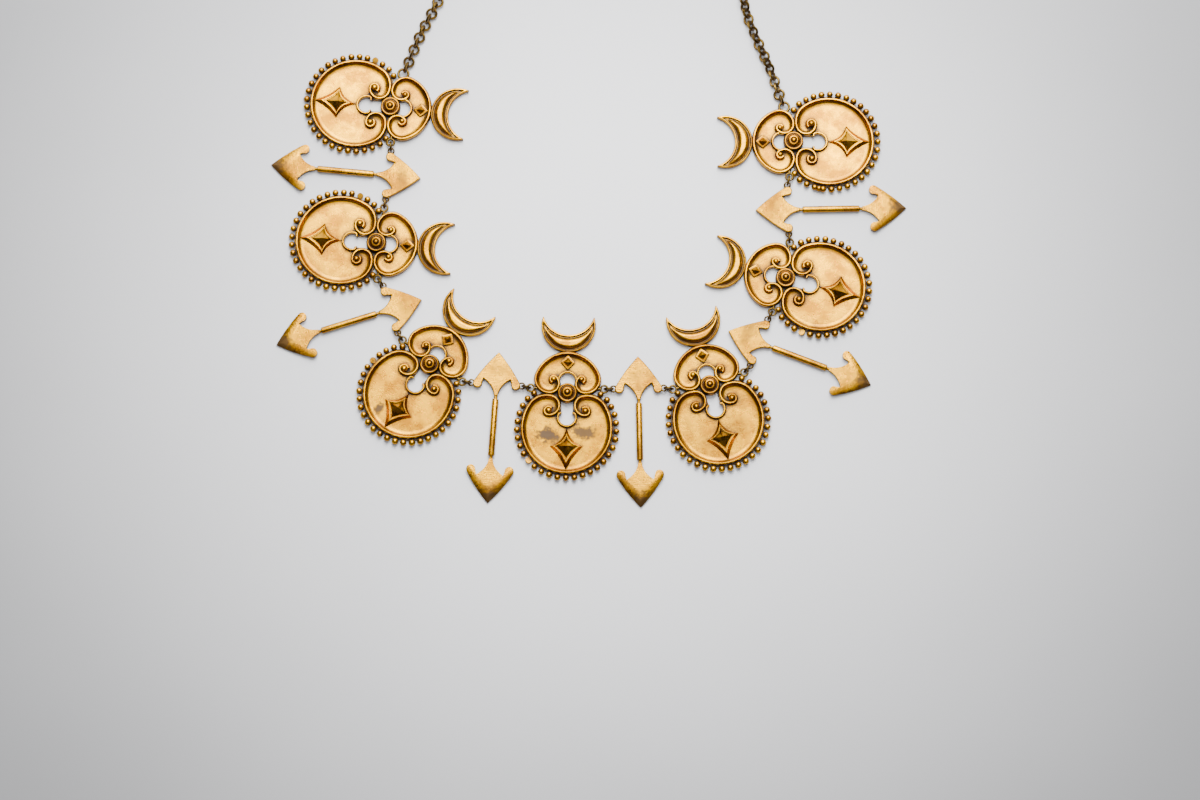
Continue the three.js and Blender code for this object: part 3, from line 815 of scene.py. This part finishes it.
def head_outline():
    """The arrow head's outline, tip at the origin and neck toward +Y, and the angle of its side."""
    barb = Vector((HEAD["half_width"] - BARB["radius"], BARB["reach"], 0))
    side = math.degrees(math.atan2(barb.y, barb.x) - math.asin(BARB["radius"] / barb.length))
    touch = polar(barb, BARB["radius"], side - 90)
    bulge = polar(touch / 2, 2 * HEAD["bulge"], side - 90)
    neck = Vector((HEAD["neck"], HEAD["length"], 0))
    half = [
        *quadratic(ORIGIN, bulge, touch, 10),
        *arc_points(barb, BARB["radius"], side - 90, BARB["until"], 14)[1:],
        *quadratic(NOTCH, THROAT, neck, 12),
    ]
    return half + [Vector((-point.x, point.y, 0)) for point in reversed(half)][:-1], side


def arrow_head(bm, sloped):
    """One head of an arrow. A sloped one falls away to the two sides that meet at its tip."""
    outline, side = head_outline()
    slab(bm, outline, HEAD["thickness"])
    bmesh.ops.recalc_face_normals(bm, faces=bm.faces[:])
    if sloped:
        drop = HEAD["thickness"] - TIP_SLOPE["edge"]
        for way in (1, -1):
            outward = polar(ORIGIN, 1.0, side - 90 - TIP_SLOPE["turn"])
            outward.x *= way
            for share in TIP_SLOPE["cuts"]:
                inward = -outward * TIP_SLOPE["width"] * (1 - share)
                fall = 2 * drop * share / TIP_SLOPE["width"]
                height = HEAD["thickness"] - drop * share**2
                cut_flat(bm, inward + UP * height, outward * fall + UP)
    back = TIP_SLOPE["edge"] / 2
    top = [edge for edge in sharp_edges(bm, 30) if min(vert.co.z for vert in edge.verts) > back]
    rounded(bm, [edge for edge in top if rise_of(edge) < HEAD["thickness"] / 2], SOFTENING["head"], 3)


def shaft(bm, diameter, length, lay):
    """A round rod with softened ends."""
    rod(bm, diameter / 2, length, lay, 28)
    rounded(bm, sharp_edges(bm, 60), SOFTENING["shaft"], 3)


def arrow_form(sizes):
    """An arrow's two heads, its shaft, and the thin neck that runs through the shaft into the heads."""
    form = Form()
    half = ARROW_LENGTH / 2
    turned = Matrix.Translation((0, half, 0)) @ Matrix.Rotation(math.pi, 4, "Z")
    form.add(lambda bm: arrow_head(bm, False), turned)
    form.add(lambda bm: arrow_head(bm, True), Matrix.Translation((0, -half, 0)))
    diameter = in_mm(sizes.shaft_diameter)
    length = ARROW_LENGTH - 2 * (HEAD["length"] + SHAFT_GAP)
    lay = Matrix.Translation(UP * diameter / 2) @ ON_EDGE
    form.add(lambda bm: shaft(bm, diameter, length, lay))
    lower = Matrix.Translation(-UP * NECK["drop"]) @ lay
    form.add(lambda bm: rod(bm, NECK["diameter"] / 2, length + 2 * NECK["overlap"], lower, 16))
    return form


def arrow_eyes_form():
    """The flat eyes beside the barbs of an arrow's inner head."""
    form = Form()
    x = HEAD["half_width"] + ARROW_EYE["stand"]
    for side in (-1, 1):
        place = Matrix.Translation((side * x, ARROW_LENGTH / 2 - BARB["reach"], ARROW_EYE["height"]))
        form.add(lambda bm: wire_ring(bm, ARROW_EYE["radius"], ARROW_EYE["wire"], 24, 8, place))
    return form


def ring_form(sizes):
    """A ring on edge, with its plane along X."""
    return Form().add(lambda bm: wire_ring(bm, RING_RADIUS, in_mm(sizes.ring_wire), 28, 10, ON_EDGE))


def route_points(side):
    """The chain's route, in metres, from its first link to its last."""
    middle, _ = medallion_lie(MIDDLE)
    first, _ = ring_lie(f"first_link_{side}")
    last, _ = ring_lie(f"last_link_{side}")
    chosen = [middle + Vector((x, y, 0)) * MM for x, y in CHAIN_ROUTES[side]]
    return [Vector((point.x, point.y, 0)) for point in (first, *chosen, last)]


def smooth_route(points, steps=24):
    """A smooth curve through the points, as a run of close points."""
    ends = [points[0] * 2 - points[1], *points, points[-1] * 2 - points[-2]]
    run = []
    for before, start, end, after in zip(ends, ends[1:], ends[2:], ends[3:]):
        for i in range(steps):
            t = i / steps
            run.append(
                0.5 * (
                    2 * start + (end - before) * t
                    + (2 * before - 5 * start + 4 * end - after) * t * t
                    + (3 * start - before - 3 * end + after) * t**3
                )
            )
    return [*run, points[-1]]


def even_places(run, spacing):
    """Places and directions along a run of points, as near to the spacing as fits a whole number."""
    lengths = [(end - start).length for start, end in zip(run, run[1:])]
    count = round(sum(lengths) / spacing)
    step = sum(lengths) / count
    places = []
    walked = 0.0
    for start, end, length in zip(run, run[1:], lengths):
        while len(places) * step <= walked + length + 1e-9 and len(places) <= count:
            share = (len(places) * step - walked) / length
            places.append((start.lerp(end, share), (end - start).normalized()))
        walked += length
    return places


def chain_form(sizes, side, chance):
    """The round links of one side of the chain, each turned a quarter from the last."""
    form = Form()
    wire = in_mm(sizes.link_wire)
    radius = (in_mm(sizes.link_diameter) - wire) / 2
    run = smooth_route(route_points(side))
    places = even_places([point / MM for point in run], in_mm(sizes.link_pitch))
    for number, (place, along) in enumerate(places):
        settled = min(1.0, number / CHAIN_LIE["settling"])
        roll = 90 if number % 2 == 0 else 0
        if side == "right":
            roll -= CHAIN_LIE["right_roll"] * settled
        roll += chance.uniform(-CHAIN_LIE["loose_roll"], CHAIN_LIE["loose_roll"]) * settled
        lean = math.radians(roll)
        dip = CHAIN_LIE["dip"]
        height = radius - dip + (dip + wire / 2) * abs(math.sin(lean))
        matrix = (
            Matrix.Translation((place.x, place.y, height))
            @ Matrix.Rotation(math.atan2(along.y, along.x), 4, "Z")
            @ Matrix.Rotation(lean, 4, "X")
        )
        form.add(lambda bm: wire_ring(bm, radius, wire, 16, 8, matrix))
    return form


def hook_form(width, wire):
    """A plain S of wire with round ends, as two like halves."""
    radius = (width - wire) / 4
    arc = {"centre": Vector((-radius, 0, 0)), "radius": radius, "start": 0.0, "until": -HOOK["sweep"]}
    end = Matrix.Translation(polar(arc["centre"], radius, arc["until"]))
    ball = wire / 2 * HOOK["end"]
    profile = [point.xy for point in arc_points(ORIGIN, wire / 2, 0, 360, 10)[:-1]]
    form = Form()
    for turn in (0, math.pi):
        turned = Matrix.Rotation(turn, 4, "Z")
        form.add(lambda bm: sweep_arcs(bm, profile, [arc], 12, True), turned)
        form.add(
            lambda bm: bmesh.ops.create_uvsphere(bm, u_segments=16, v_segments=10, radius=ball, matrix=end),
            turned,
        )
    return form


def new_material(name):
    """A fresh material with its tree and shader."""
    material = bpy.data.materials.new(name)
    material.use_nodes = True
    tree = material.node_tree
    return material, tree, tree.nodes["Principled BSDF"]


def add_node(tree, kind, inputs=None, **settings):
    """A node with its settings, and its inputs set to values or linked to sockets."""
    node = tree.nodes.new(kind)
    for name, value in settings.items():
        setattr(node, name, value)
    for name, value in (inputs or {}).items():
        if isinstance(value, bpy.types.NodeSocket):
            tree.links.new(value, node.inputs[name])
        else:
            node.inputs[name].default_value = value
    return node


def noise_of(tree, coordinates, scale, detail, roughness, distortion=0.0):
    return add_node(
        tree, "ShaderNodeTexNoise",
        {"Vector": coordinates, "Scale": scale, "Detail": detail, "Roughness": roughness,
         "Distortion": distortion},
    ).outputs["Fac"]


def remap(tree, value, low, high, to_low=0.0, to_high=1.0):
    return add_node(
        tree, "ShaderNodeMapRange",
        {"Value": value, "From Min": low, "From Max": high, "To Min": to_low, "To Max": to_high},
        interpolation_type="SMOOTHSTEP",
    ).outputs["Result"]


def combine(tree, operation, first, second):
    return add_node(tree, "ShaderNodeMath", {0: first, 1: second}, operation=operation).outputs[0]


def vector_maths(tree, operation, *values, output="Vector"):
    inputs = dict(enumerate(values))
    return add_node(tree, "ShaderNodeVectorMath", inputs, operation=operation).outputs[output]


def mottle(tree, value, blotches, amount):
    """A value made uneven by up to an amount either way."""
    return combine(tree, "ADD", value, remap(tree, blotches, *NOISE_SPAN, -amount, amount))


def openness(tree, reach, samples):
    """How open the surroundings are within reach: 1 out in the open."""
    node = add_node(tree, "ShaderNodeAmbientOcclusion", {"Distance": reach}, samples=samples)
    return node.outputs["AO"]


def add_bump(tree, shader, height, strength, distance):
    bump = add_node(tree, "ShaderNodeBump", {"Strength": strength, "Distance": distance, "Height": height})
    tree.links.new(bump.outputs["Normal"], shader.inputs["Normal"])


def blend_colours(tree, factor, first, second):
    """A mix of two colours, each a triple or a socket."""
    node = add_node(tree, "ShaderNodeMix", {0: factor}, data_type="RGBA")
    for socket, value in ((6, first), (7, second)):
        if isinstance(value, bpy.types.NodeSocket):
            tree.links.new(value, node.inputs[socket])
        else:
            node.inputs[socket].default_value = (*value, 1.0)
    return node.outputs[2]


def with_dark_patches(tree, marks, lie, blotches, tarnish_and_shade, patina_and_shade):
    """Tarnish and patina with ragged dark patches over the marks: smudges on some medallions, and painted
    shade on an arrow's outer tip.
    """
    for centre, size, strength in marks:
        apart = vector_maths(tree, "SUBTRACT", lie, centre)
        scaled = vector_maths(tree, "DIVIDE", apart, size)
        spread = vector_maths(tree, "LENGTH", scaled, output="Value")
        patch = remap(tree, mottle(tree, spread, blotches, 0.35), 0.3, 1.2, strength, 0.0)
        tarnish_and_shade = combine(tree, "ADD", tarnish_and_shade, combine(tree, "MULTIPLY", patch, 1.5))
        patina_and_shade = combine(tree, "MAXIMUM", patina_and_shade, combine(tree, "MULTIPLY", patch, 0.7))
    return tarnish_and_shade, patina_and_shade


def brushing_of(tree, lie):
    """Fine strokes that run at a slight angle across a piece."""
    settings = {"Vector": lie, "Rotation": (0, 0, math.radians(8)), "Scale": (0.25, 2.6, 1.0)}
    stretched = add_node(tree, "ShaderNodeMapping", settings).outputs["Vector"]
    return remap(tree, noise_of(tree, stretched, 1.3, 4.0, 0.7), 0.35, 0.75)


def slope_film_and_shade(tree, blotches, share):
    """Film that grows from nothing on level faces to its share on walls: partly the brown that rubbing
    leaves on sides, partly painted shade on faces turned from the overhead light.
    """
    normal = add_node(tree, "ShaderNodeNewGeometry").outputs["Normal"]
    upright = add_node(tree, "ShaderNodeSeparateXYZ", {"Vector": normal}).outputs["Z"]
    return remap(tree, mottle(tree, upright, blotches, 0.07), 0.1, 0.85, share, 0.0)


def antique_metal(name, recipe, finish):
    """Rubbed metal, browner on its slopes, with dark patina in its recesses, smudges and scratches. The
    slope film and the recess patina are partly painted shade, a wider darkening near raised parts is painted
    shade, and so is the mark on an arrow's outer tip.
    """
    material, tree, shader = new_material(name)
    bright = tuple(getattr(finish, recipe["colour"]))
    deep = tuple(finish.deep_gold) if recipe["colour"] == "gold" else tuple(part / 2 for part in bright)
    scratches = recipe["scratches"]
    place = add_node(tree, "ShaderNodeTexCoord").outputs["Object"]
    lie = add_node(tree, "ShaderNodeUVMap", uv_map="lie").outputs["UV"]
    clouds = noise_of(tree, place, 130.0, 5.0, 0.62)
    grain = noise_of(tree, place, 2600.0, 3.0, 0.6)
    blotches = noise_of(tree, place, 620.0, 5.0, 0.65)
    stains = noise_of(tree, place, 75.0, 5.0, 0.6, 0.4)
    brushing = brushing_of(tree, lie)

    # Patina in the recesses, which also paints the shade that falls there.
    bare, full = recipe["patina_and_shade"]
    recess = mottle(tree, openness(tree, finish.recess_reach, 6), blotches, 0.1)
    patina_and_shade = remap(tree, recess, full, bare, 1.0, 0.0)
    tarnish_and_shade = remap(tree, stains, 0.52, 0.74, 0.0, 0.5)
    # Dark patches over the marks: smudges on some medallions, painted shade on the arrows' outer tips.
    tarnish_and_shade, patina_and_shade = with_dark_patches(tree, recipe.get("marks", ()), lie, blotches, tarnish_and_shade, patina_and_shade)

    # Painted shade: a wide darkening of the floor near raised parts, with tarnish and brushing added.
    shade_and_wear = combine(tree, "ADD", remap(tree, openness(tree, 5 * MM, 4), 0.55, 1.0, 0.5, 0.0), tarnish_and_shade)
    shade_and_wear = combine(tree, "ADD", shade_and_wear, combine(tree, "MULTIPLY", brushing, 0.15 * scratches))
    # Film on slopes and walls, partly painted shade, taking the darkening above where that is stronger.
    film_and_shade = slope_film_and_shade(tree, blotches, recipe["film_and_shade"])
    film_and_shade = combine(tree, "MAXIMUM", film_and_shade, combine(tree, "MINIMUM", shade_and_wear, 0.95))

    metal = blend_colours(tree, remap(tree, clouds, 0.36, 0.6), deep, bright)
    filmed_and_shaded = blend_colours(tree, film_and_shade, metal, tuple(finish.film_and_shade))
    colour = blend_colours(tree, patina_and_shade, filmed_and_shaded, tuple(finish.patina_and_shade))
    tree.links.new(colour, shader.inputs["Base Color"])
    tree.links.new(remap(tree, patina_and_shade, 0.0, 1.0, 1.0, 0.25), shader.inputs["Metallic"])

    rough = remap(tree, blotches, *NOISE_SPAN, 0.22, 0.38)
    rough = combine(tree, "ADD", rough, combine(tree, "MULTIPLY", patina_and_shade, 0.3))
    tree.links.new(rough, shader.inputs["Roughness"])
    relief = combine(tree, "MULTIPLY", brushing, scratches)
    relief = combine(tree, "ADD", combine(tree, "MULTIPLY", blotches, 1.6), relief)
    add_bump(tree, shader, combine(tree, "ADD", grain, relief), 0.35, 0.06 * MM)


def metal_material(name):
    """The named metal, made when it is first asked for."""
    if name not in bpy.data.materials:
        antique_metal(name, METALS[name], bpy.context.scene.necklace_finish)
    return bpy.data.materials[name]


def paper_material(finish, middle):
    """Fine paper, with painted shade that darkens it away from its middle, where the light falls off."""
    material, tree, shader = new_material("pale_paper")
    place = add_node(tree, "ShaderNodeTexCoord").outputs["Object"]
    fibres = noise_of(tree, place, 900.0, 4.0, 0.6)
    tone = remap(tree, noise_of(tree, place, 9.0, 2.0, 0.5), *NOISE_SPAN, 0.0, 0.06)
    # Painted shade: darker with distance from the brightest point, plus a faint random tone.
    distance = vector_maths(tree, "DISTANCE", place, middle, output="Value")
    fall = combine(tree, "ADD", remap(tree, distance, *PAPER["fall"]), tone)
    shade = tuple(channel * PAPER["shade"] for channel in finish.paper)
    colour = blend_colours(tree, fall, tuple(finish.paper), shade)
    tree.links.new(colour, shader.inputs["Base Color"])
    shader.inputs["Roughness"].default_value = 0.85
    shader.inputs["Specular IOR Level"].default_value = 0.2
    add_bump(tree, shader, fibres, 0.1, 0.05 * MM)
    return material


def add_light(name, aim, offset, size, spread, power):
    """A soft rectangular light at an offset from the point that it faces."""
    lamp = bpy.data.lights.new(name, "AREA")
    lamp.shape = "RECTANGLE"
    lamp.size, lamp.size_y = size
    lamp.spread = math.radians(spread)
    lamp.energy = power
    light = bpy.data.objects.new(name, lamp)
    light.location = aim + Vector(offset)
    light.rotation_mode = "QUATERNION"
    light.rotation_quaternion = Vector(offset).to_track_quat("Z", "Y")
    bpy.context.scene.collection.objects.link(light)


class JEWEL_OT_stage(bpy.types.Operator):
    """Sets the paper, the camera and the soft lights"""

    bl_idname = "jewel.stage"
    bl_label = "Stage"

    def execute(self, context):
        scene = context.scene
        middle, _ = medallion_lie(MIDDLE)
        target = middle + LOOK_AT * MM
        lean = math.radians(VIEW_LEAN)
        back = Vector((0, -math.sin(lean), math.cos(lean)))
        lens = bpy.data.cameras.new("camera")
        lens.sensor_width = SENSOR_WIDTH
        lens.lens = SENSOR_WIDTH * VIEW_DISTANCE / VIEW_WIDTH
        camera = bpy.data.objects.new("camera", lens)
        camera.location = target + back * VIEW_DISTANCE
        camera.rotation_mode = "QUATERNION"
        camera.rotation_quaternion = (-back).to_track_quat("-Z", "Y")
        scene.collection.objects.link(camera)
        scene.camera = camera

        bm = bmesh.new()
        bmesh.ops.create_grid(bm, x_segments=1, y_segments=1, size=PAPER["reach"])
        sheet = bpy.data.meshes.new("paper")
        bm.to_mesh(sheet)
        bm.free()
        sheet.materials.append(paper_material(scene.necklace_finish, target + PAPER["brightest"]))
        paper = bpy.data.objects.new("paper", sheet)
        scene.collection.objects.link(paper)

        for name, light in LIGHTS.items():
            add_light(name, target + LIGHT_AIM, *light)
        world = bpy.data.worlds.new("studio")
        world.use_nodes = True
        background = world.node_tree.nodes["Background"]
        background.inputs["Color"].default_value = WORLD["colour"]
        background.inputs["Strength"].default_value = WORLD["strength"]
        scene.world = world
        return {"FINISHED"}


class JEWEL_OT_medallions(bpy.types.Operator):
    """Adds the seven medallions, each with its boss, relief, eyes and beads"""

    bl_idname = "jewel.medallions"
    bl_label = "Medallions"

    def execute(self, context):
        sizes = context.scene.necklace_sizes
        casting = casting_form(sizes)
        boss = boss_form(sizes)
        relief = relief_form()
        chance = random.Random(BEAD_SEED)
        for node in MEDALLIONS:
            place, turn = medallion_lie(node)
            left = CHAIN_EYE if node == MEDALLIONS[0] else RING_EYE
            right = CHAIN_EYE if node == MEDALLIONS[-1] else RING_EYE
            beads = bead_form(sizes, chance, CUT_BEADS.get(node), JOINED_BEADS.get(node))
            parts = {
                "casting": (casting, STAINED.get(node, "antique_gold")),
                "boss": (boss, "boss_gold"),
                "relief": (relief, "relief_gold"),
                "eyes": (eyes_form(sizes, left, right), "antique_brass"),
                "beads": (beads, "bead_gold"),
            }
            for part, (form, metal) in parts.items():
                add_piece(f"{node}_{part}", form, place, turn, metal, "cast_gold", node)
        return {"FINISHED"}


class JEWEL_OT_arrows(bpy.types.Operator):
    """Adds the double-headed arrows, each with its eyes"""

    bl_idname = "jewel.arrows"
    bl_label = "Arrows"

    def execute(self, context):
        cast = arrow_form(context.scene.necklace_sizes)
        eyes = arrow_eyes_form()
        for node in ARROWS:
            place, turn = arrow_lie(node)
            add_piece(f"{node}_cast", cast, place, turn, "brushed_gold", "cast_gold", node)
            add_piece(f"{node}_eyes", eyes, place, turn, "antique_brass", "cast_gold", node)
        return {"FINISHED"}


class JEWEL_OT_rings(bpy.types.Operator):
    """Adds the rings that join medallions and arrows"""

    bl_idname = "jewel.rings"
    bl_label = "Rings"

    def execute(self, context):
        ring = ring_form(context.scene.necklace_sizes)
        for node in JUMP_RINGS:
            place, turn = ring_lie(node)
            add_piece(f"{node}_wire", ring, place, turn, "antique_brass", "ring_brass", node)
        return {"FINISHED"}


class JEWEL_OT_chain(bpy.types.Operator):
    """Adds the round links of the chain on both sides"""

    bl_idname = "jewel.chain"
    bl_label = "Chain"

    def execute(self, context):
        chance = random.Random(CHAIN_SEED)
        for side in ("left", "right"):
            links = chain_form(context.scene.necklace_sizes, side, chance)
            nodes = (f"first_link_{side}", f"chain_{side}", f"last_link_{side}")
            add_piece(f"links_{side}", links, ORIGIN, 0.0, "antique_brass", "chain_brass", *nodes)
        return {"FINISHED"}


class JEWEL_OT_hook(bpy.types.Operator):
    """Adds the plain hook that closes the chain"""

    bl_idname = "jewel.hook"
    bl_label = "Hook"

    def execute(self, context):
        low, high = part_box("hook")
        hook = hook_form(in_mm(high.x - low.x), in_mm(high.z - low.z))
        add_piece("hook_wire", hook, (low + high) / 2, 0.0, "antique_brass", "chain_brass", "hook")
        return {"FINISHED"}


class VIEW3D_PT_necklace(bpy.types.Panel):
    """Lists the steps of the necklace"""

    bl_label = "Necklace"
    bl_idname = "VIEW3D_PT_necklace"
    bl_space_type = "VIEW_3D"
    bl_region_type = "UI"
    bl_category = "Necklace"

    def draw(self, context):
        for operator in OPERATORS:
            self.layout.operator(operator.bl_idname)
        for group in (context.scene.necklace_sizes, context.scene.necklace_finish):
            column = self.layout.column()
            for name in group.__annotations__:
                column.prop(group, name)


OPERATORS = (
    JEWEL_OT_stage,
    JEWEL_OT_medallions,
    JEWEL_OT_arrows,
    JEWEL_OT_rings,
    JEWEL_OT_chain,
    JEWEL_OT_hook,
)
CLASSES = (NecklaceSizes, NecklaceFinish, *OPERATORS, VIEW3D_PT_necklace)


def register():
    for cls in CLASSES:
        bpy.utils.register_class(cls)
    bpy.types.Scene.necklace_sizes = PointerProperty(type=NecklaceSizes)
    bpy.types.Scene.necklace_finish = PointerProperty(type=NecklaceFinish)


def unregister():
    del bpy.types.Scene.necklace_finish
    del bpy.types.Scene.necklace_sizes
    for cls in reversed(CLASSES):
        bpy.utils.unregister_class(cls)


def main():
    register()
    bpy.ops.jewel.stage()
    bpy.ops.jewel.medallions()
    bpy.ops.jewel.arrows()
    bpy.ops.jewel.rings()
    bpy.ops.jewel.chain()
    bpy.ops.jewel.hook()


if __name__ == "__main__":
    main()
